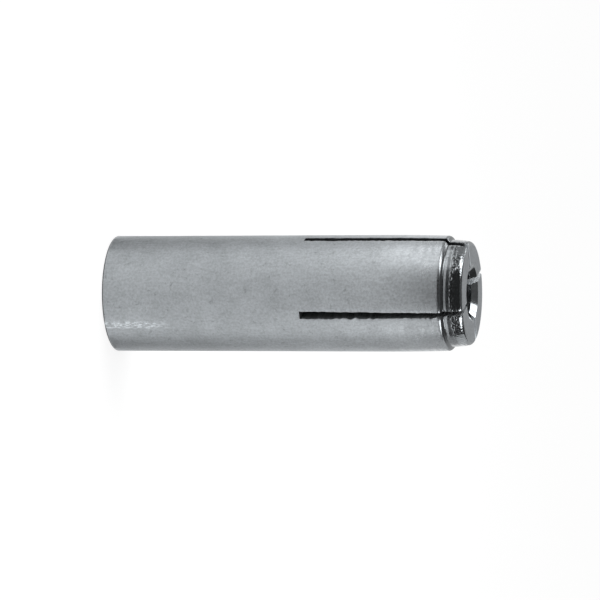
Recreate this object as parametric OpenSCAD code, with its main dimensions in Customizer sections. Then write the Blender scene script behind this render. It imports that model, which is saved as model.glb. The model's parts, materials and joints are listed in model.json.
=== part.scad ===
// Drop-in anchor: a turned sleeve with a tapped socket at the mouth, four sawn leaves at the nose,
// and a captive tapered plug that spreads the leaves when it is driven towards the nose.
// The axis is Z. The mouth rim lies on Z = 0 and the nose points up.

/* [Sleeve] */
// Length of the sleeve from the mouth to the nose face
sleeve_len = 40; // [38:0.5:60]
// Outside diameter of the plain shank
sleeve_d = 12.7; // [12.6:0.1:16]
// Edge break on the outer rim of the mouth
mouth_break = 0.15; // [0.05:0.05:0.5]

/* [Tapped socket] */
// Tap drill diameter of the socket
socket_d = 7.94; // [7.85:0.01:8.4]
// Depth of the tapped bore from the mouth
socket_len = 16.5; // [10:0.5:18]
// Countersink diameter at the mouth
mouth_sink_d = 10; // [9:0.1:11]

/* [Expander bore] */
// Diameter of the plain chamber that holds the plug
chamber_d = 7.5; // [7:0.05:7.6]
// Length of the taper between the chamber and the exit bore
taper_len = 14.4; // [10:0.2:16]
// Diameter of the exit bore in the nose
exit_d = 4.9; // [4:0.1:5.8]
// Length of the exit bore, with its countersink
exit_len = 3.4; // [2:0.1:5]
// Countersink diameter in the nose face
exit_sink_d = 6.16; // [6:0.02:8]

/* [Expansion slots] */
// Length of the two slots on the Y axis
slot_len_y = 17.85; // [12:0.05:22]
// Length of the two slots on the X axis
slot_len_x = 18.1; // [12:0.05:22]
// Slot width at the root, as sawn
slot_root_w = 0.8; // [0.5:0.02:1.2]
// Width of the two X slots at the nose face
slot_tip_w_x = 0.78; // [0.4:0.02:1.2]
// Width of the front slot, on -Y, at the nose face, where the leaves are pinched together
slot_tip_w_front = 0.4; // [0.2:0.02:0.8]
// Width of the back slot, on +Y, at the nose face
slot_tip_w_back = 0.6; // [0.2:0.02:0.8]

/* [Nose] */
// Length over which the leaves taper in from the shank to the shoulder
pinch_len = 7.1; // [3:0.1:12]
// Diameter over the leaves at the shoulder
shoulder_d = 12.5; // [12:0.05:12.6]
// Axial run of the shoulder's slope
shoulder_run = 0.3; // [0.2:0.05:1]
// Edge radius at the top of the shoulder
shoulder_edge_r = 0.35; // [0.05:0.05:0.5]
// Fillet radius at the foot of the shoulder
shoulder_foot_r = 0.15; // [0.05:0.05:0.3]
// Length of the nose from the shoulder's foot to the nose face
nose_len = 2.08; // [1.4:0.02:4]
// Length of the parallel land at the shoulder's foot
nose_land_len = 0.7; // [0.4:0.05:0.9]
// Diameter of the parallel land
nose_land_d = 11.6; // [11.2:0.02:11.8]
// Diameter of the nose at its face, before the edge is rounded
nose_tip_d = 11.16; // [10:0.02:11.4]
// Edge radius of the nose
nose_edge_r = 0.45; // [0.1:0.01:0.5]

/* [Expander plug] */
// Length of the plug's parallel shank
plug_shank_len = 3.2; // [1:0.1:5]
// Diameter of the plug's small end
plug_tip_d = 6.1; // [5.9:0.1:7]
// Radial clearance between the plug and its bore
plug_fit = 0.02; // [0.01:0.01:0.1]
// Edge break on both ends of the plug
plug_break = 0.3; // [0.1:0.05:0.5]

/* [Hidden] */
$fn = 96;
// Segments in each rounded edge of a section
arc_steps = 8;
// How far a cut runs past the face that it opens
cut_over = 1;
zinc_plate = [0.63, 0.65, 0.66];
plain_steel = [0.45, 0.46, 0.47];

shoulder_foot_z = sleeve_len - nose_len;
shoulder_z = shoulder_foot_z - shoulder_run;
pinch_z = shoulder_z - pinch_len;
taper_end_z = sleeve_len - exit_len;
taper_z = taper_end_z - taper_len;
mouth_sink_depth = (mouth_sink_d - socket_d) / 2;
exit_sink_depth = (exit_sink_d - exit_d) / 2;
socket_step = (socket_d - chamber_d) / 2;
// Radius lost for each millimetre along the taper, shared by the bore and the plug
taper_slope = (chamber_d - exit_d) / 2 / taper_len;
plug_d = chamber_d - 2 * plug_fit;
plug_rear_z = taper_z - plug_shank_len;
plug_tip_z = taper_z + (plug_d - plug_tip_d) / 2 / taper_slope;
// Direction, length and nose width of each slot
slots = [
    [0, slot_len_x, slot_tip_w_x],
    [90, slot_len_y, slot_tip_w_back],
    [180, slot_len_x, slot_tip_w_x],
    [270, slot_len_y, slot_tip_w_front]
];

function unit(v) = v / norm(v);

function turned(p, angle) =
    [p.x * cos(angle) - p.y * sin(angle), p.x * sin(angle) + p.y * cos(angle)];

// The arc of radius r that rounds the corner between two straight edges
function corner_arc(before, corner, after, r) =
    let (
        u = unit(before - corner),
        v = unit(after - corner),
        half = acos(u * v) / 2,
        centre = corner + unit(u + v) * r / sin(half),
        first = corner + u * r / tan(half) - centre,
        last = corner + v * r / tan(half) - centre,
        sweep = sign(cross(first, last)) * (180 - 2 * half)
    )
    [for (i = [0:arc_steps]) centre + turned(first, sweep * i / arc_steps)];

// An outline from corners written as [point, edge radius], where a radius of zero stays sharp
function rounded(corners) =
    let (count = len(corners))
    [
        for (i = [0:count - 1])
            let (
                point = corners[i][0],
                r = corners[i][1],
                before = corners[(i + count - 1) % count][0],
                after = corners[(i + 1) % count][0]
            )
            each r > 0 ? corner_arc(before, point, after, r) : [point]
    ];

// Half section of the turned outside, as [radius, height]
module outside_section() {
    polygon(rounded([
        [[0, 0], 0],
        [[sleeve_d / 2 - mouth_break, 0], 0],
        [[sleeve_d / 2, mouth_break], 0],
        [[sleeve_d / 2, pinch_z], 0],
        [[shoulder_d / 2, shoulder_z], shoulder_edge_r],
        [[nose_land_d / 2, shoulder_foot_z], shoulder_foot_r],
        [[nose_land_d / 2, shoulder_foot_z + nose_land_len], 0],
        [[nose_tip_d / 2, sleeve_len], nose_edge_r],
        [[0, sleeve_len], 0]
    ]));
}

// Half section of everything bored out of the sleeve
module bore_section() {
    polygon([
        [0, -cut_over],
        [mouth_sink_d / 2 + cut_over, -cut_over],
        [socket_d / 2, mouth_sink_depth],
        [socket_d / 2, socket_len],
        [chamber_d / 2, socket_len + socket_step],
        [chamber_d / 2, taper_z],
        [exit_d / 2, taper_end_z],
        [exit_d / 2, sleeve_len - exit_sink_depth],
        [exit_sink_d / 2 + cut_over, sleeve_len + cut_over],
        [0, sleeve_len + cut_over]
    ]);
}

// A sawn slot through the wall on +X, from the nose to its root, that narrows towards the nose
module saw_cut(length, tip_w) {
    translate([0, 0, sleeve_len])
        rotate([90, 0, 90])
            linear_extrude(height = sleeve_d / 2 + cut_over)
                polygon([
                    [-slot_root_w / 2, -length],
                    [slot_root_w / 2, -length],
                    [tip_w / 2, 0],
                    [tip_w / 2, cut_over],
                    [-tip_w / 2, cut_over],
                    [-tip_w / 2, 0]
                ]);
}

module anchor_sleeve() {
    color(zinc_plate)
        difference() {
            rotate_extrude()
                difference() {
                    outside_section();
                    bore_section();
                }
            for (slot = slots)
                rotate([0, 0, slot[0]]) saw_cut(slot[1], slot[2]);
        }
}

// The plug stands in the chamber with its cone against the bore's taper
module expander_plug() {
    color(plain_steel)
        rotate_extrude()
            polygon([
                [0, plug_rear_z],
                [plug_d / 2 - plug_break, plug_rear_z],
                [plug_d / 2, plug_rear_z + plug_break],
                [plug_d / 2, taper_z],
                [plug_tip_d / 2 + plug_break * taper_slope, plug_tip_z - plug_break],
                [plug_tip_d / 2 - plug_break, plug_tip_z],
                [0, plug_tip_z]
            ]);
}

anchor_sleeve();
expander_plug();
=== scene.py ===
"""Drop-in anchor: a zinc plated sleeve with a cut thread and sawn leaves, and the plug inside it."""
import json
import math

import bpy
import numpy as np
from mathutils import Matrix, Vector


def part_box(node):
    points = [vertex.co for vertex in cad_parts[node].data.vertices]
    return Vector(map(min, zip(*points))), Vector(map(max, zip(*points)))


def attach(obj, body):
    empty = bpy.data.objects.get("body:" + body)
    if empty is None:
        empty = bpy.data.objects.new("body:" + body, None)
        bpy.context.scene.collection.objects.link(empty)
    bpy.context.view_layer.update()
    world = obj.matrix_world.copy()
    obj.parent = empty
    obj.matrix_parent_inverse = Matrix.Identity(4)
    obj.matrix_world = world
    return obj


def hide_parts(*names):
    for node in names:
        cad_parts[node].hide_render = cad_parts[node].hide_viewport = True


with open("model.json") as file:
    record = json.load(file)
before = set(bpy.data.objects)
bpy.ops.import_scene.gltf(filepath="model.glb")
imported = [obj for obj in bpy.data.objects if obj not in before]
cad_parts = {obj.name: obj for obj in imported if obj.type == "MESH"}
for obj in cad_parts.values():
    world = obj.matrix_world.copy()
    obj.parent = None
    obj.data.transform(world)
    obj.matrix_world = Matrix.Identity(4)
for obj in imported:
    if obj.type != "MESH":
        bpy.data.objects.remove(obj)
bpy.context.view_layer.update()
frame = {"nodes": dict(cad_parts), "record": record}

# Sizes in metres. The frame gives the fits and overall sizes, the rest are the part's own.
MM = 0.001
mounts = {mount["name"]: mount for mount in frame["record"]["mounts"]}
tapped = mounts["thread_socket"]
SLEEVE_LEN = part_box("anchor_sleeve")[1].z
SLEEVE_R = mounts["shank"]["dims"]["r_mm"] * MM
SOCKET_R = tapped["dims"]["r_mm"] * MM
SOCKET_END_Z = tapped["pos_m"][2] + tapped["dims"]["length_mm"] * MM / 2
MOUTH_EDGE_R = 0.15 * MM
MOUTH_SINK_R = 5.0 * MM
CHAMBER_R = 3.75 * MM
TAPER_LEN = 14.4 * MM
EXIT_LEN = 3.4 * MM
EXIT_R = 2.45 * MM
EXIT_SINK_R = 3.08 * MM
EXIT_EDGE_R = 0.06 * MM
PINCH_LEN = 7.1 * MM
SHOULDER_R = 6.25 * MM
SHOULDER_RUN = 0.3 * MM
SHOULDER_EDGE_R = 0.35 * MM
SHOULDER_FOOT_R = 0.15 * MM
NOSE_LEN = 2.08 * MM
NOSE_LAND_LEN = 0.7 * MM
NOSE_LAND_FOOT_R = 5.798 * MM
NOSE_LAND_R = 5.8 * MM
NOSE_LAND_END_R = 5.775 * MM
NOSE_TIP_R = 5.58 * MM
NOSE_EDGE_R = 0.45 * MM

# How much of the fall of a crowned line grows with the way along it, and where the nose's crown ends
LEAF_CROWN = 1.0
NOSE_CROWN = 0.55
NOSE_CROWN_END = 0.7

# Slots, counted from +X towards +Y
SLOTS = 4
BACK_SLOT, FRONT_SLOT = 1, 3
SLOT_LEN_X = 18.1 * MM
SLOT_LEN_Y = 17.85 * MM
SLOT_ROOT_W = 0.8 * MM
SLOT_TIP_W_X = 0.78 * MM
SLOT_TIP_W_FRONT = 0.4 * MM
SLOT_TIP_W_BACK = 0.6 * MM
SLOT_EDGE_R = 0.06 * MM
# Depth of the ragged line on the side where the saw enters a leaf, and where it leaves one
SAW_ENTRY_RAGGED = 0.03 * MM
SAW_EXIT_RAGGED = 0.055 * MM
SAW_SMOOTHING = (0.25, 0.5, 0.25)
SAW_SEED = 7
# Extra that the saw tore from each side of the front slot, at its root and at the nose
FRONT_TORN = {-1: (0.06 * MM, 0.0), 1: (0.0, 0.09 * MM)}
# How far the back slot leans sideways at the nose, where its leaves were pinched unevenly
BACK_LEAN = 0.4 * MM

# Thread, with the flats of its form as shares of the pitch
THREAD_PITCH = 1.5875 * MM
THREAD_MAJOR_R = 4.7625 * MM
THREAD_RUNOUT = 1.6 * MM
THREAD_CREST_HALF = 1 / 8
THREAD_ROOT_HALF = 1 / 16

FOOT_Z = SLEEVE_LEN - NOSE_LEN
SHOULDER_Z = FOOT_Z - SHOULDER_RUN
PINCH_Z = SHOULDER_Z - PINCH_LEN
LAND_MIDDLE_Z = FOOT_Z + NOSE_LAND_LEN / 2
LAND_END_Z = FOOT_Z + NOSE_LAND_LEN
TAPER_END_Z = SLEEVE_LEN - EXIT_LEN
TAPER_Z = TAPER_END_Z - TAPER_LEN

# Mesh density
ARC_STEPS = 8
LEAF_CELLS = 28
THREAD_STEPS = 10
WALL_SHARES = (0.3, 0.6)
MOUTH_STEP = 0.06 * MM
NOSE_STEP = 0.06 * MM
LEAF_STEP = 0.15 * MM
PLAIN_STEP = 0.5 * MM
FINE_MOUTH_Z = 0.4 * MM
FINE_NOSE_Z = SHOULDER_Z - 0.4 * MM
SHARP_ANGLE = math.radians(50)
HEIGHT_DIGITS = 8

# Camera, as fitted to the photograph
AZIMUTH = math.radians(-22.5)
ELEVATION = math.radians(14.3)
DISTANCE = 0.45
LENS = 246.7
CLIP_START, CLIP_END = 0.01, 20
AIM_Z = 20.745 * MM
AIM_UP = -0.734 * MM

TOWARD_CAMERA = Vector((math.sin(AZIMUTH), -math.cos(AZIMUTH), 0))
PICTURE_UP = Vector((-math.cos(AZIMUTH), -math.sin(AZIMUTH), 0))
VERTICAL = Vector((0, 0, 1))


# Sections, as (radius, height) points
def unit(vector):
    return vector / np.linalg.norm(vector)


def corner_arc(before, corner, after, radius):
    """The arc that rounds a corner between two straight edges."""
    to_before, to_after = unit(before - corner), unit(after - corner)
    half = math.acos(np.clip(to_before @ to_after, -1, 1)) / 2
    centre = corner + unit(to_before + to_after) * radius / math.sin(half)
    first = corner + to_before * radius / math.tan(half) - centre
    last = corner + to_after * radius / math.tan(half) - centre
    side = math.copysign(1, first[0] * last[1] - first[1] * last[0])
    turns = side * (math.pi - 2 * half) * np.linspace(0, 1, ARC_STEPS + 1)
    across = np.array([-first[1], first[0]])
    return [centre + first * math.cos(t) + across * math.sin(t) for t in turns]


def rounded(corners):
    """The line through ((radius, height), edge radius) corners, without its two end corners."""
    points = [np.array(point) for point, _ in corners]
    line = []
    for i in range(1, len(corners) - 1):
        edge = corners[i][1]
        line += corner_arc(*points[i - 1:i + 2], edge) if edge else [points[i]]
    return np.array(line)


def crowned(start, end, crown, until=1.0):
    """Corners from one point towards another, where part of the fall grows with the way along."""
    (r0, z0), (r1, z1) = start, end
    corners = []
    for step in range(ARC_STEPS):
        way = until * step / ARC_STEPS
        fall = way * (1 - crown + crown * way)
        corners.append(((r0 + (r1 - r0) * fall, z0 + (z1 - z0) * way), 0))
    return corners


def outside_line():
    shoulder, tip = (SHOULDER_R, SHOULDER_Z), (NOSE_TIP_R, SLEEVE_LEN)
    return rounded([
        ((MOUTH_SINK_R, 0), 0),
        ((SLEEVE_R, 0), MOUTH_EDGE_R),
        *crowned((SLEEVE_R, PINCH_Z), shoulder, LEAF_CROWN),
        (shoulder, SHOULDER_EDGE_R),
        ((NOSE_LAND_FOOT_R, FOOT_Z), SHOULDER_FOOT_R),
        ((NOSE_LAND_R, LAND_MIDDLE_Z), 0),
        *crowned((NOSE_LAND_END_R, LAND_END_Z), tip, NOSE_CROWN, NOSE_CROWN_END),
        (tip, NOSE_EDGE_R),
        ((EXIT_SINK_R, SLEEVE_LEN), 0),
    ])


def bore_line():
    return rounded([
        ((SLEEVE_R, 0), 0),
        ((MOUTH_SINK_R, 0), 0),
        ((SOCKET_R, MOUTH_SINK_R - SOCKET_R), 0),
        ((SOCKET_R, SOCKET_END_Z), 0),
        ((CHAMBER_R, SOCKET_END_Z + SOCKET_R - CHAMBER_R), 0),
        ((CHAMBER_R, TAPER_Z), 0),
        ((EXIT_R, TAPER_END_Z), 0),
        ((EXIT_R, SLEEVE_LEN - (EXIT_SINK_R - EXIT_R)), EXIT_EDGE_R),
        ((EXIT_SINK_R, SLEEVE_LEN), EXIT_EDGE_R),
        ((SLEEVE_R, SLEEVE_LEN), 0),
    ])


def step_at(z):
    if z < FINE_MOUTH_Z:
        return MOUTH_STEP
    if z < SOCKET_END_Z:
        return THREAD_PITCH / THREAD_STEPS
    if z > FINE_NOSE_Z:
        return NOSE_STEP
    return LEAF_STEP if z > SLEEVE_LEN - SLOT_LEN_X else PLAIN_STEP


def station_heights(outside, bore, roots):
    """Heights of the mesh's rings: corners of both lines, the slot roots, and steps between them."""
    corners = np.concatenate([outside[:, 1], bore[:, 1], roots])
    marks = np.unique(np.round(corners, HEIGHT_DIGITS))
    heights = [marks[0]]
    for low, high in zip(marks[:-1], marks[1:]):
        count = max(1, math.ceil((high - low) / step_at((low + high) / 2)))
        heights += list(np.linspace(low, high, count + 1)[1:])
    return np.array(heights)


# Sleeve mesh, with its material zones
ZINC, BORE, SAWN = range(3)


def thread_depth(z, angle):
    """How deep the thread is cut at a height and angle: a 60 degree form that runs out at its end."""
    phase = np.mod(z / THREAD_PITCH - angle / (2 * math.pi), 1)
    from_crest = 0.5 - THREAD_CREST_HALF - np.abs(phase - 0.5)
    form = np.clip(from_crest / (0.5 - THREAD_CREST_HALF - THREAD_ROOT_HALF), 0, 1)
    runout = np.clip((SOCKET_END_Z - z) / THREAD_RUNOUT, 0, 1)
    return (THREAD_MAJOR_R - SOCKET_R) * form * runout


def saw_edges(z, roots, tips):
    """Half width of each slot on each side at every height, with the ragged line of a saw cut."""
    rng = np.random.default_rng(SAW_SEED)
    edges = {}
    for slot, (root, tip) in enumerate(zip(roots, tips)):
        along = np.clip((z - root) / (SLEEVE_LEN - root), 0, 1)
        width = SLOT_ROOT_W + (tip - SLOT_ROOT_W) * along
        for side, ragged in ((-1, SAW_ENTRY_RAGGED), (1, SAW_EXIT_RAGGED)):
            rough = np.convolve(rng.normal(0, 1, len(z)), SAW_SMOOTHING, "same")
            edges[slot, side] = width / 2 + ragged * rough * (z >= root)
            if slot == FRONT_SLOT:
                edges[slot, side] += np.interp(along, (0, 1), FRONT_TORN[side])
            if slot == BACK_SLOT:
                edges[slot, side] += side * BACK_LEAN * along ** 2
    return edges


def ring_angles(radius, edges):
    """Angle of every line round the sleeve on every ring: slot middle, slot edge, then the leaf."""
    lines = []
    for slot in range(SLOTS):
        start = slot * math.pi / 2
        end = start + math.pi / 2
        near_edge = edges[slot, 1][:, None]
        far_edge = edges[(slot + 1) % SLOTS, -1][:, None]
        near = [start + np.arcsin((near_edge + w) / radius) for w in (0, SLOT_EDGE_R)]
        far = [end - np.arcsin((far_edge + w) / radius) for w in (0, SLOT_EDGE_R)]
        lines += [np.full_like(radius, start), near[0], near[1]]
        lines += [near[1] + (far[1] - near[1]) * i / LEAF_CELLS for i in range(1, LEAF_CELLS)]
        lines += [far[1], far[0]]
    return np.stack(lines, axis=-1)


def boundary_quads(solid):
    """Quads around the solid cells of a (height, wall, angle) grid, each with its material zone."""
    rings, walls, turns = solid.shape
    corner = np.arange((rings + 1) * (walls + 1) * turns).reshape(rings + 1, walls + 1, turns)
    following = np.roll(corner, -1, axis=2)
    bottom = corner[:-1, :-1], following[:-1, :-1], following[:-1, 1:], corner[:-1, 1:]
    top = corner[1:, 1:], following[1:, 1:], following[1:, :-1], corner[1:, :-1]
    inner = corner[1:, :-1], following[1:, :-1], following[:-1, :-1], corner[:-1, :-1]
    outer = corner[:-1, 1:], following[:-1, 1:], following[1:, 1:], corner[1:, 1:]
    left = corner[:-1, :-1], corner[:-1, 1:], corner[1:, 1:], corner[1:, :-1]
    right = following[1:, :-1], following[1:, 1:], following[:-1, 1:], following[:-1, :-1]
    below = np.zeros_like(solid)
    below[1:] = solid[:-1]
    above = np.zeros_like(solid)
    above[:-1] = solid[1:]
    inside = np.zeros_like(solid)
    inside[:, 1:] = solid[:, :-1]
    outside = np.zeros_like(solid)
    outside[:, :-1] = solid[:, 1:]
    nose_face = np.zeros_like(solid)
    nose_face[-1] = True
    quads, zones = [], []
    for corners, neighbour, zone in (
        (bottom, below, ZINC),
        (top, above, np.where(nose_face, ZINC, SAWN)),
        (inner, inside, BORE),
        (outer, outside, ZINC),
        (left, np.roll(solid, 1, axis=2), SAWN),
        (right, np.roll(solid, -1, axis=2), SAWN),
    ):
        shown = solid & ~neighbour
        quads.append(np.stack([c[shown] for c in corners], axis=-1))
        zones.append(np.broadcast_to(zone, solid.shape)[shown])
    return np.concatenate(quads), np.concatenate(zones)


def sleeve_mesh():
    outside, bore = outside_line(), bore_line()
    root_x, root_y = SLEEVE_LEN - SLOT_LEN_X, SLEEVE_LEN - SLOT_LEN_Y
    roots = np.round([root_x, root_y, root_x, root_y], HEIGHT_DIGITS)
    z = station_heights(outside, bore, roots)
    r_out = np.interp(z, outside[:, 1], outside[:, 0])
    r_in = np.interp(z, bore[:, 1], bore[:, 0])
    edge_share = 1 - SLOT_EDGE_R / (r_out - r_in)
    inner_shares = [np.full_like(z, share) for share in (0, *WALL_SHARES)]
    shares = np.stack([*inner_shares, edge_share, np.ones_like(z)], axis=-1)
    radius = r_in[:, None] + shares * (r_out - r_in)[:, None]
    edges = saw_edges(z, roots, [SLOT_TIP_W_X, SLOT_TIP_W_BACK, SLOT_TIP_W_X, SLOT_TIP_W_FRONT])
    angle = ring_angles(radius, edges)
    turns = angle.shape[-1]
    per_slot = turns // SLOTS
    radius = np.repeat(radius[:, :, None], turns, axis=2)
    height = np.broadcast_to(z[:, None, None], radius.shape).copy()
    threaded = (z > 0) & (z < SOCKET_END_Z)
    cut = SOCKET_R + thread_depth(height[threaded, 0], angle[threaded, 0])
    radius[threaded, 0] = np.maximum(radius[threaded, 0], cut)

    # Slot cells are left open above the root, and the slots' outer edges are broken
    solid = np.ones((len(z) - 1, shares.shape[1] - 1, turns), bool)
    ease = SLOT_EDGE_R * (1 - math.sqrt(0.5))
    for slot, root in enumerate(roots):
        middle = slot * per_slot
        opened = z[:-1] >= root
        solid[np.ix_(opened, range(solid.shape[1]), [middle - 1, middle])] = False
        cut_rings = z >= root
        for line, side in ((middle + 1, 1), (middle - 1, -1)):
            angle[cut_rings, -1, line] += side * ease / radius[cut_rings, -1, line]
            radius[cut_rings, -1, line] -= ease
            height[-1, :, line] -= ease

    quads, zones = boundary_quads(solid)
    used, quads = np.unique(quads, return_inverse=True)
    points = np.stack([radius * np.cos(angle), radius * np.sin(angle), height], axis=-1)
    mesh = bpy.data.meshes.new("anchor_sleeve_dressed")
    mesh.from_pydata(points.reshape(-1, 3)[used].tolist(), [], quads.reshape(-1, 4).tolist())
    mesh.polygons.foreach_set("material_index", zones.astype(np.int32))
    mesh.shade_smooth()
    mesh.set_sharp_from_angle(angle=SHARP_ANGLE)
    mesh.validate()
    return mesh


# Materials
class Shader:
    """A material built from nodes, with short calls for the few kinds that are used here."""

    def __init__(self, name):
        self.material = bpy.data.materials.new(name)
        self.material.use_nodes = True
        self.tree = self.material.node_tree
        self.surface = self.tree.nodes["Principled BSDF"]
        self.place = self.node("ShaderNodeTexCoord").outputs["Object"]

    def node(self, kind, inputs=(), **settings):
        made = self.tree.nodes.new(kind)
        for name, value in settings.items():
            setattr(made, name, value)
        for key, value in dict(inputs).items():
            self.feed(made.inputs[key], value)
        return made

    def feed(self, socket, value):
        if isinstance(value, bpy.types.NodeSocket):
            self.tree.links.new(value, socket)
        else:
            socket.default_value = value

    def set(self, **inputs):
        for name, value in inputs.items():
            self.feed(self.surface.inputs[name.replace("_", " ").title()], value)

    def bump(self, height, distance):
        inputs = {"Height": height, "Distance": distance, "Strength": 1.0}
        self.set(normal=self.node("ShaderNodeBump", inputs).outputs[0])

    def math(self, operation, first, second=0.0):
        return self.node("ShaderNodeMath", {0: first, 1: second}, operation=operation).outputs[0]

    def add(self, first, second):
        return self.math("ADD", first, second)

    def less(self, first, second):
        return self.math("SUBTRACT", first, second)

    def times(self, first, second):
        return self.math("MULTIPLY", first, second)

    def vector_math(self, operation, *inputs, output="Vector"):
        made = self.node("ShaderNodeVectorMath", enumerate(inputs), operation=operation)
        return made.outputs[output]

    def ramp(self, value, low, high, to_low=0.0, to_high=1.0):
        """A smooth step from one result to another while the value goes from low to high."""
        inputs = {0: value, 1: low, 2: high, 3: to_low, 4: to_high}
        return self.node("ShaderNodeMapRange", inputs, interpolation_type="SMOOTHSTEP").outputs[0]

    def fade(self, share, first, last):
        """A smooth step between two numbers by a share from 0 to 1."""
        return self.ramp(share, 0, 1, first, last)

    def swing(self, noise, span, middle, half):
        """A noise turned into a value that swings both ways from a middle."""
        return self.ramp(noise, *span, middle - half, middle + half)

    def blend(self, share, first, second):
        return self.node("ShaderNodeMix", {0: share, 2: first, 3: second}).outputs[0]

    def tint(self, value, colour):
        grey = self.node("ShaderNodeCombineXYZ", {0: value, 1: value, 2: value}).outputs[0]
        return self.vector_math("MULTIPLY", grey, colour)

    def noise(self, scale, detail, roughness, place=None):
        place = place or self.place
        inputs = {"Vector": place, "Scale": scale, "Detail": detail, "Roughness": roughness}
        return self.node("ShaderNodeTexNoise", inputs).outputs[0]

    def streaks(self, across, along, detail, roughness):
        """Noise with one scale across the sleeve's axis and another along it."""
        return self.noise(1.0, detail, roughness, self.stretched(across, along))

    def stretched(self, across, along):
        return self.vector_math("MULTIPLY", self.place, (across, across, along))

    def along(self, direction):
        return self.vector_math("DOT_PRODUCT", self.place, direction, output="Value")

    def from_axis(self):
        """Distance from the sleeve's axis, as the place for the noise of ring marks."""
        radius = self.vector_math("LENGTH", self.stretched(1, 0), output="Value")
        return self.node("ShaderNodeCombineXYZ", {0: radius}).outputs[0]

    def axes(self):
        return self.node("ShaderNodeSeparateXYZ", {0: self.place}).outputs


# A noise is (scale, detail, roughness), and streaks are (scale across, scale along, detail,
# roughness), with scales per metre. A span is the part of a noise's range that is used. A zone is a
# pair of heights, or of distances, between which one finish turns into the next.
NOISE_SPAN = (0.3, 0.7)
ZINC_TINT = (0.946, 1.0, 1.041)

# Plate: zones from the mouth to the nose's face
RIM_PAINTED_SHADE_ZONE = (0.1 * MM, 0.2 * MM)
PAINTED_FALLOFF_ZONE = (5 * MM, 28 * MM)
LEAF_ZONE = (22 * MM, SHOULDER_Z)
NOSE_ZONE = (SHOULDER_Z - 0.15 * MM, SHOULDER_Z + 0.1 * MM)
LAND_ZONE = (SHOULDER_Z, SHOULDER_Z + 0.15 * MM)
LAND_END_ZONE = (LAND_END_Z + 0.1 * MM, LAND_END_Z + 0.5 * MM)
CONE_ZONE = (LAND_END_Z - 0.1 * MM, LAND_END_Z + 0.2 * MM)
FACE_ZONE = (SLEEVE_LEN - 0.03 * MM, SLEEVE_LEN - 0.01 * MM)

# Plate: noises
GRAIN = (4000, 4, 0.65)
GRAIN_SPAN = (0.32, 0.68)
CLOUDS = (350, 2, 0.5)
DRAWN_LINES = (3600, 700, 3, 0.6)
FLECKS = (1700, 3, 0.7)
FLECK_SPAN = (0.59, 0.7)
SMUDGES = (600, 2400, 3, 0.6)
LUMPS = (3400, 2, 0.5)
RINGS = (5000, 2, 0.6)

# Plate: tones, and the painted shade and light that multiply them
PLATE_TONE = 0.5
CLOUD_SWING = 0.025
GRAIN_SWING = 0.07
DRAWN_SWING = 0.025
FLECK_TONE = 0.12
LEAF_FLECK_TONE = 0.06
# Painted light and shade: the plate is darker at the mouth end and lighter towards the leaves, for
# the light that falls stronger near the nose
MOUTH_PAINTED_SHADE = 0.95
LEAF_PAINTED_LIGHT = 1.06
# Painted shade: the land's tone is darkened for the darker reflection it shows
LAND_PAINTED_SHADE = 0.6
# Painted shade: the mouth's rim is darkened for the dark contact line beneath it
RIM_PAINTED_SHADE = 0.25

# Plate: roughness
SATIN_ROUGH = 0.5
BURNISHED_ROUGH = 0.3
ROUGH_SWING = 0.05
LAND_ROUGH = 0.2
CONE_ROUGH = 0.14
FACE_ROUGH = 0.45

# Plate: relief, with shares of it for each noise and zone
PLATE_RELIEF = 0.025 * MM
GRAIN_RELIEF = 0.3
DRAWN_RELIEF = 0.1
BURNISHED_RELIEF = 0.4
LUMP_LEVEL = 0.3
LAND_RELIEF = 0.1
CONE_RELIEF = 1.7
RING_RELIEF = 0.2


def zinc_plate():
    """Satin plate, burnished towards the nose, with a bright land and cone and a satin face."""
    shader = Shader("zinc_plate")
    z = shader.axes()[2]
    leaf = shader.ramp(z, *LEAF_ZONE)
    nose = shader.ramp(z, *NOSE_ZONE)
    cone = shader.ramp(z, *CONE_ZONE)
    face = shader.ramp(z, *FACE_ZONE)
    grain = shader.noise(*GRAIN)
    drawn = shader.streaks(*DRAWN_LINES)
    shader.set(base_color=shader.tint(plate_tone(shader, leaf, grain, drawn), ZINC_TINT))
    shader.set(metallic=1.0)

    uneven = shader.blend(leaf, grain, shader.streaks(*SMUDGES))
    satin = shader.blend(leaf, SATIN_ROUGH, BURNISHED_ROUGH)
    satin = shader.add(satin, shader.swing(uneven, NOISE_SPAN, 0, ROUGH_SWING))
    bright = shader.blend(face, shader.fade(cone, LAND_ROUGH, CONE_ROUGH), FACE_ROUGH)
    shader.set(roughness=shader.blend(nose, satin, bright))

    fine = shader.add(shader.times(grain, GRAIN_RELIEF), shader.times(drawn, DRAWN_RELIEF))
    fine = shader.times(fine, shader.fade(leaf, 1.0, BURNISHED_RELIEF))
    lumps = shader.less(shader.noise(*LUMPS), LUMP_LEVEL)
    turned = shader.times(lumps, shader.fade(cone, LAND_RELIEF, CONE_RELIEF))
    rings = shader.times(shader.noise(*RINGS, shader.from_axis()), RING_RELIEF)
    turned = shader.blend(face, turned, rings)
    shader.bump(shader.blend(nose, fine, turned), PLATE_RELIEF)
    return shader.material


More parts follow.
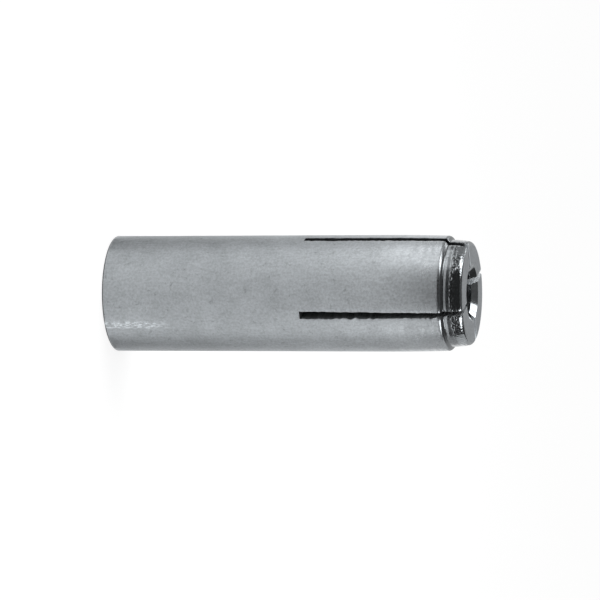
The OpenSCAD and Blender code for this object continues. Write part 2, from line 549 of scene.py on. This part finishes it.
def plate_tone(shader, leaf, grain, drawn):
    """The plate's grey: clouds, grain, drawn lines and flecks, with painted shade at the mouth and on
    the land, painted light towards the leaves, and the worn streak's painted highlight.
    """
    z = shader.axes()[2]
    tone = shader.swing(shader.noise(*CLOUDS), NOISE_SPAN, PLATE_TONE, CLOUD_SWING)
    tone = shader.add(tone, shader.swing(grain, GRAIN_SPAN, 0, GRAIN_SWING))
    tone = shader.add(tone, shader.swing(drawn, NOISE_SPAN, 0, DRAWN_SWING))
    flecks = shader.ramp(shader.noise(*FLECKS), *FLECK_SPAN)
    tone = shader.less(tone, shader.times(flecks, shader.fade(leaf, FLECK_TONE, LEAF_FLECK_TONE)))
    # Painted shade at the mouth end, painted light towards the leaves
    tone = shader.times(tone, shader.ramp(z, *PAINTED_FALLOFF_ZONE, MOUTH_PAINTED_SHADE, LEAF_PAINTED_LIGHT))
    # Painted shade on the land
    land = shader.times(shader.ramp(z, *LAND_ZONE), shader.ramp(z, *LAND_END_ZONE, 1.0, 0.0))
    tone = shader.times(tone, shader.fade(land, 1.0, LAND_PAINTED_SHADE))
    # Painted shade at the mouth's rim
    tone = shader.times(tone, shader.fade(shader.ramp(z, *RIM_PAINTED_SHADE_ZONE), RIM_PAINTED_SHADE, 1.0))
    return shader.add(tone, wear_and_painted_highlight(shader))


# Worn streak that runs up from the mouth, painted brighter as a highlight
SCUFF_ANGLE = math.radians(-79.5)
SCUFF_EDGE_ZONE = (0.2 * MM, 0.65 * MM)
SCUFF_END_ZONE = (5 * MM, 8 * MM)
WEAR_HIGHLIGHT_PATCHES = (4200, 1900, 3, 0.7)
WEAR_HIGHLIGHT_SPAN = (0.4, 0.62)
# Partly painted highlight: the streak's tone is raised for the glint it shows
WEAR_HIGHLIGHT_TONES = (-0.03, 0.33)


def wear_and_painted_highlight(shader):
    """What the worn streak and its painted highlight add to the plate's tone."""
    out = math.cos(SCUFF_ANGLE), math.sin(SCUFF_ANGLE), 0
    side = -math.sin(SCUFF_ANGLE), math.cos(SCUFF_ANGLE), 0
    shape = shader.ramp(shader.along(out), 0, SLEEVE_R / 2)
    across = shader.math("ABSOLUTE", shader.along(side))
    shape = shader.times(shape, shader.ramp(across, *SCUFF_EDGE_ZONE, 1.0, 0.0))
    shape = shader.times(shape, shader.ramp(shader.axes()[2], *SCUFF_END_ZONE, 1.0, 0.0))
    patches = shader.ramp(shader.streaks(*WEAR_HIGHLIGHT_PATCHES), *WEAR_HIGHLIGHT_SPAN, *WEAR_HIGHLIGHT_TONES)
    return shader.times(shape, patches)


# Bore: plate tone in the nose's countersink and the thread, painted shade between them
SINK_ZONE = (SLEEVE_LEN - 1.2 * MM, SLEEVE_LEN - 0.6 * MM)
THREAD_END_ZONE = (SOCKET_END_Z, SOCKET_END_Z + 1.0 * MM)
BORE_GRAIN = (2600, 3, 0.6)
BORE_GRAIN_SPAN = (0.2, 0.8)
# Painted shade: the bore between the thread and the countersink is darkened for the shade that falls
# in it
BORE_PAINTED_SHADE_TONE = 0.16
BORE_PLATED_TONE = 0.6
BORE_SWING = 0.15
BORE_ROUGH = 0.45
SINK_ROUGH = 0.14
BORE_RELIEF = 0.003 * MM


def bore_steel():
    """The bore: bright at the nose's countersink, dull and darkened with painted shade further in."""
    shader = Shader("bore_steel")
    z = shader.axes()[2]
    sink = shader.ramp(z, *SINK_ZONE)
    thread = shader.ramp(z, *THREAD_END_ZONE, 1.0, 0.0)
    grain = shader.noise(*BORE_GRAIN)
    # Painted shade deeper in the bore
    tone = shader.blend(shader.math("MAXIMUM", sink, thread), BORE_PAINTED_SHADE_TONE, BORE_PLATED_TONE)
    tone = shader.times(tone, shader.swing(grain, BORE_GRAIN_SPAN, 1, BORE_SWING))
    shader.set(base_color=shader.tint(tone, ZINC_TINT), metallic=1.0)
    shader.set(roughness=shader.blend(sink, BORE_ROUGH, SINK_ROUGH))
    shader.bump(grain, BORE_RELIEF)
    return shader.material


# Slot walls: how deep the bright plate tone reaches from the nose, as painted light further in the
# back slot and painted shade nearer the nose in the front; deeper in, painted shade
SAWN_FRONT_ZONE = (-3 * MM, -2 * MM)
SAWN_BACK_ZONE = (1.5 * MM, 2.5 * MM)
SAWN_NOSE_ZONE = (SLEEVE_LEN - 0.7 * MM, SLEEVE_LEN - 0.25 * MM)
# Painted light and shade: how much further the bright tone reaches into the back slot, and how much
# less into the front
BACK_PAINTED_LIGHT_REACH = 1.9 * MM
FRONT_PAINTED_SHADE_SHORT = 0.4 * MM
SAW_LINES = (600, 7000, 2, 0.6)
# Painted shade: the walls' tone deeper in, less dark in the front slot
SAWN_PAINTED_SHADE_TONE = 0.07
SAWN_FRONT_PAINTED_SHADE_TONE = 0.19
SAWN_PLATED_TONE = 0.57
SAWN_SWING = 0.25
SAWN_FRONT_METAL = 0.75
SAWN_PLATED_METAL = 0.6
SAWN_ROUGH = 0.575
SAWN_ROUGH_SWING = 0.075
SAWN_PLATED_ROUGH = 0.35
SAWN_RELIEF = 0.006 * MM


def sawn_steel():
    """The slots' walls: the fine lines that the saw leaves, plate tone at the nose and painted shade
    deeper in.
    """
    shader = Shader("sawn_steel")
    _, y, z = shader.axes()
    # Painted light and shade by slot and by depth from the nose
    front = shader.ramp(y, *SAWN_FRONT_ZONE, 1.0, 0.0)
    reach = shader.ramp(y, *SAWN_BACK_ZONE, 0.0, BACK_PAINTED_LIGHT_REACH)
    reach = shader.less(reach, shader.times(front, FRONT_PAINTED_SHADE_SHORT))
    nose = shader.ramp(shader.add(z, reach), *SAWN_NOSE_ZONE)
    lines = shader.streaks(*SAW_LINES)
    tone = shader.blend(nose, shader.blend(front, SAWN_PAINTED_SHADE_TONE, SAWN_FRONT_PAINTED_SHADE_TONE), SAWN_PLATED_TONE)
    tone = shader.times(tone, shader.swing(lines, NOISE_SPAN, 1, SAWN_SWING))
    metal = shader.blend(nose, shader.blend(front, 1.0, SAWN_FRONT_METAL), SAWN_PLATED_METAL)
    shader.set(base_color=shader.tint(tone, ZINC_TINT), metallic=metal)
    rough = shader.swing(lines, NOISE_SPAN, SAWN_ROUGH, SAWN_ROUGH_SWING)
    shader.set(roughness=shader.blend(nose, rough, SAWN_PLATED_ROUGH))
    shader.bump(lines, SAWN_RELIEF)
    return shader.material


# Plug
PLUG_TINT = (1.0, 0.99, 0.97)
PLUG_LINES = (200, 6000, 2, 0.6)
PLUG_TONE = 0.235
PLUG_SWING = 0.035
PLUG_ROUGH = 0.4
PLUG_ROUGH_SWING = 0.06
PLUG_RELIEF = 0.003 * MM


def plug_steel():
    """The plug: plain cold formed steel with faint turning lines."""
    shader = Shader("plug_steel")
    lines = shader.streaks(*PLUG_LINES)
    tone = shader.swing(lines, NOISE_SPAN, PLUG_TONE, PLUG_SWING)
    shader.set(base_color=shader.tint(tone, PLUG_TINT), metallic=1.0)
    shader.set(roughness=shader.swing(lines, NOISE_SPAN, PLUG_ROUGH, PLUG_ROUGH_SWING))
    shader.bump(lines, PLUG_RELIEF)
    return shader.material


# Pieces
sleeve = bpy.data.objects.new("anchor_sleeve_dressed", sleeve_mesh())
bpy.context.scene.collection.objects.link(sleeve)
for material in (zinc_plate(), bore_steel(), sawn_steel()):
    sleeve.data.materials.append(material)
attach(sleeve, "root")
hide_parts("anchor_sleeve")

plug = frame["nodes"]["expander_plug"]
plug.data.materials.clear()
plug.data.materials.append(plug_steel())


# Stage: a white floor, and a dark box of cards around the part that only reflections show
FLOOR_HALF = 3.0
FLOOR_TONE = 0.9
FLOOR_GLOW = 0.72
FLOOR_CORNERS = ((-1, -1), (1, -1), (1, 1), (-1, 1))
CARD_LIFT = 0.2 * MM
BOX_HALF = 0.2
BOX_FRONT = 0.185
BOX_BACK = 0.25
BOX_TOP = 0.3
STRIP_OUT = 0.118


def bearing_axes(bearing):
    """Outward and sideways directions at a bearing, from the camera towards the picture's top."""
    a = math.radians(bearing)
    out = TOWARD_CAMERA * math.cos(a) + PICTURE_UP * math.sin(a)
    return out, PICTURE_UP * math.cos(a) - TOWARD_CAMERA * math.sin(a)


def sheet(name, corners, material):
    """A flat sheet that is part of the stage."""
    mesh = bpy.data.meshes.new(name)
    mesh.from_pydata([tuple(c) for c in corners], [], [(0, 1, 2, 3)])
    mesh.materials.append(material)
    made = bpy.data.objects.new(name, mesh)
    bpy.context.scene.collection.objects.link(made)
    return made


def seen_white(tree):
    """1 for what the camera sees directly, in a reflection or through glass, and 0 for lighting."""
    path = tree.nodes.new("ShaderNodeLightPath").outputs
    total = path["Is Camera Ray"]
    for name in ("Is Glossy Ray", "Is Transmission Ray"):
        made = tree.nodes.new("ShaderNodeMath")
        made.operation = "MAXIMUM"
        tree.links.new(total, made.inputs[0])
        tree.links.new(path[name], made.inputs[1])
        total = made.outputs[0]
    return total


def floor_material():
    """Plain white that keeps a soft shadow."""
    material = bpy.data.materials.new("floor_white")
    material.use_nodes = True
    tree = material.node_tree
    surface = tree.nodes["Principled BSDF"]
    surface.inputs["Base Color"].default_value = (FLOOR_TONE, FLOOR_TONE, FLOOR_TONE, 1)
    surface.inputs["Roughness"].default_value = 1.0
    surface.inputs["Specular IOR Level"].default_value = 0.0
    glow = tree.nodes.new("ShaderNodeEmission")
    share = tree.nodes.new("ShaderNodeMath")
    share.operation = "MULTIPLY"
    share.inputs[1].default_value = FLOOR_GLOW
    tree.links.new(seen_white(tree), share.inputs[0])
    mix = tree.nodes.new("ShaderNodeMixShader")
    tree.links.new(share.outputs[0], mix.inputs[0])
    tree.links.new(surface.outputs[0], mix.inputs[1])
    tree.links.new(glow.outputs[0], mix.inputs[2])
    tree.links.new(mix.outputs[0], tree.nodes["Material Output"].inputs["Surface"])
    return material


def card_material(tone):
    material = bpy.data.materials.new("card")
    material.use_nodes = True
    tree = material.node_tree
    glow = tree.nodes.new("ShaderNodeEmission")
    glow.inputs["Color"].default_value = (tone, tone, tone, 1)
    tree.links.new(glow.outputs[0], tree.nodes["Material Output"].inputs["Surface"])
    return material


def reflected_only(made):
    for kind in ("camera", "diffuse", "shadow", "transmission"):
        setattr(made, "visible_" + kind, False)


def card(name, bearing, half, low, high, tone):
    """A card between two (distance, height) edges, with half its width given in degrees."""
    out, side = bearing_axes(bearing)
    spread = math.tan(math.radians(half))
    corners = []
    for (distance, z), ends in ((low, (-1, 1)), (high, (1, -1))):
        middle = out * distance + VERTICAL * z
        corners += [middle + side * abs(distance) * spread * end for end in ends]
    reflected_only(sheet(name, corners, card_material(tone)))


def floor_card(name, first, last, reach, tone):
    """A card on the floor, where the sleeve between two bearings mirrors it towards the camera."""
    starts = [bearing_axes(b)[0] * SLEEVE_R for b in (first, last)]
    ends = [start + bearing_axes(2 * b)[0] * reach for start, b in zip(starts, (first, last))]
    corners = [c + VERTICAL * CARD_LIFT for c in (starts[0], ends[0], ends[1], starts[1])]
    reflected_only(sheet(name, corners, card_material(tone)))


def softbox(name, bearing, distance, middle, width, height, radiance):
    """A light that faces the axis, with its middle at a height."""
    out, _ = bearing_axes(bearing)
    data = bpy.data.lights.new(name, "AREA")
    data.shape = "RECTANGLE"
    data.size, data.size_y = width, height
    data.energy = radiance * math.pi * width * height
    made = bpy.data.objects.new(name, data)
    made.location = out * distance + VERTICAL * middle
    made.rotation_mode = "QUATERNION"
    made.rotation_quaternion = (-out).to_track_quat("-Z", "Y")
    made.visible_camera = False
    bpy.context.scene.collection.objects.link(made)


sheet("floor", [(x * FLOOR_HALF, y * FLOOR_HALF, 0) for x, y in FLOOR_CORNERS], floor_material())

card("front_wall", bearing=0, half=49, low=(BOX_FRONT, 0), high=(BOX_FRONT, BOX_TOP), tone=0.025)
card("upper_wall", bearing=90, half=51, low=(BOX_HALF, 0), high=(BOX_HALF, BOX_TOP), tone=0.03)
card("lower_wall", bearing=-90, half=51, low=(BOX_HALF, 0), high=(BOX_HALF, BOX_TOP), tone=0.03)
card("back_wall", bearing=180, half=39, low=(BOX_BACK, 0), high=(BOX_BACK, BOX_TOP), tone=0.45)
card("lower_back_flag", bearing=-138, half=9, low=(0.22, 0), high=(0.22, 0.2), tone=0.04)
card("front_floor", bearing=0, half=28, low=(0.16, CARD_LIFT), high=(BOX_FRONT, CARD_LIFT), tone=0.3)
card("ceiling", bearing=0, half=50, low=(-BOX_BACK, BOX_TOP), high=(BOX_BACK, BOX_TOP), tone=0.09)
card("upper_strip", bearing=80, half=27, low=(STRIP_OUT, 0.002), high=(STRIP_OUT, 0.026), tone=1.6)
card("lower_strip", bearing=-70, half=16, low=(STRIP_OUT, 0.002), high=(STRIP_OUT, 0.019), tone=1.4)
card("upper_edge", bearing=103, half=26, low=(0.018, 0.0368), high=(0.018, 0.056), tone=0.25)
card("lower_edge", bearing=-119, half=20, low=(0.032, 0.02), high=(0.036, 0.058), tone=0.55)

floor_card("upper_floor", first=48, last=70, reach=0.12, tone=0.36)
floor_card("lower_floor", first=-48, last=-70, reach=0.12, tone=0.45)
floor_card("near_floor", first=30, last=48, reach=0.08, tone=0.85)

softbox("upper_softbox", bearing=88, distance=0.12, middle=0.16,
        width=0.14, height=0.20, radiance=2.6)
softbox("rear_softbox", bearing=128, distance=0.14, middle=0.125,
        width=0.10, height=0.09, radiance=3.0)
softbox("lower_softbox", bearing=-70, distance=0.12, middle=0.13,
        width=0.07, height=0.14, radiance=2.5)

world = bpy.data.worlds.new("studio")
bpy.context.scene.world = world
world.use_nodes = True
backdrop = world.node_tree.nodes["Background"]
backdrop.inputs["Color"].default_value = (1, 1, 1, 1)
backdrop.inputs["Strength"].default_value = 1.0

# Camera
eye = bpy.data.cameras.new("camera")
eye.lens = LENS
eye.clip_start, eye.clip_end = CLIP_START, CLIP_END
camera = bpy.data.objects.new("camera", eye)
bpy.context.scene.collection.objects.link(camera)
back = TOWARD_CAMERA * math.cos(ELEVATION) + VERTICAL * math.sin(ELEVATION)
right = PICTURE_UP.cross(back)
aim = VERTICAL * AIM_Z + PICTURE_UP * AIM_UP
turn = Matrix((right, PICTURE_UP, back)).transposed().to_4x4()
camera.matrix_world = Matrix.Translation(aim + back * DISTANCE) @ turn
bpy.context.scene.camera = camera
bpy.context.scene.view_settings.view_transform = "Standard"
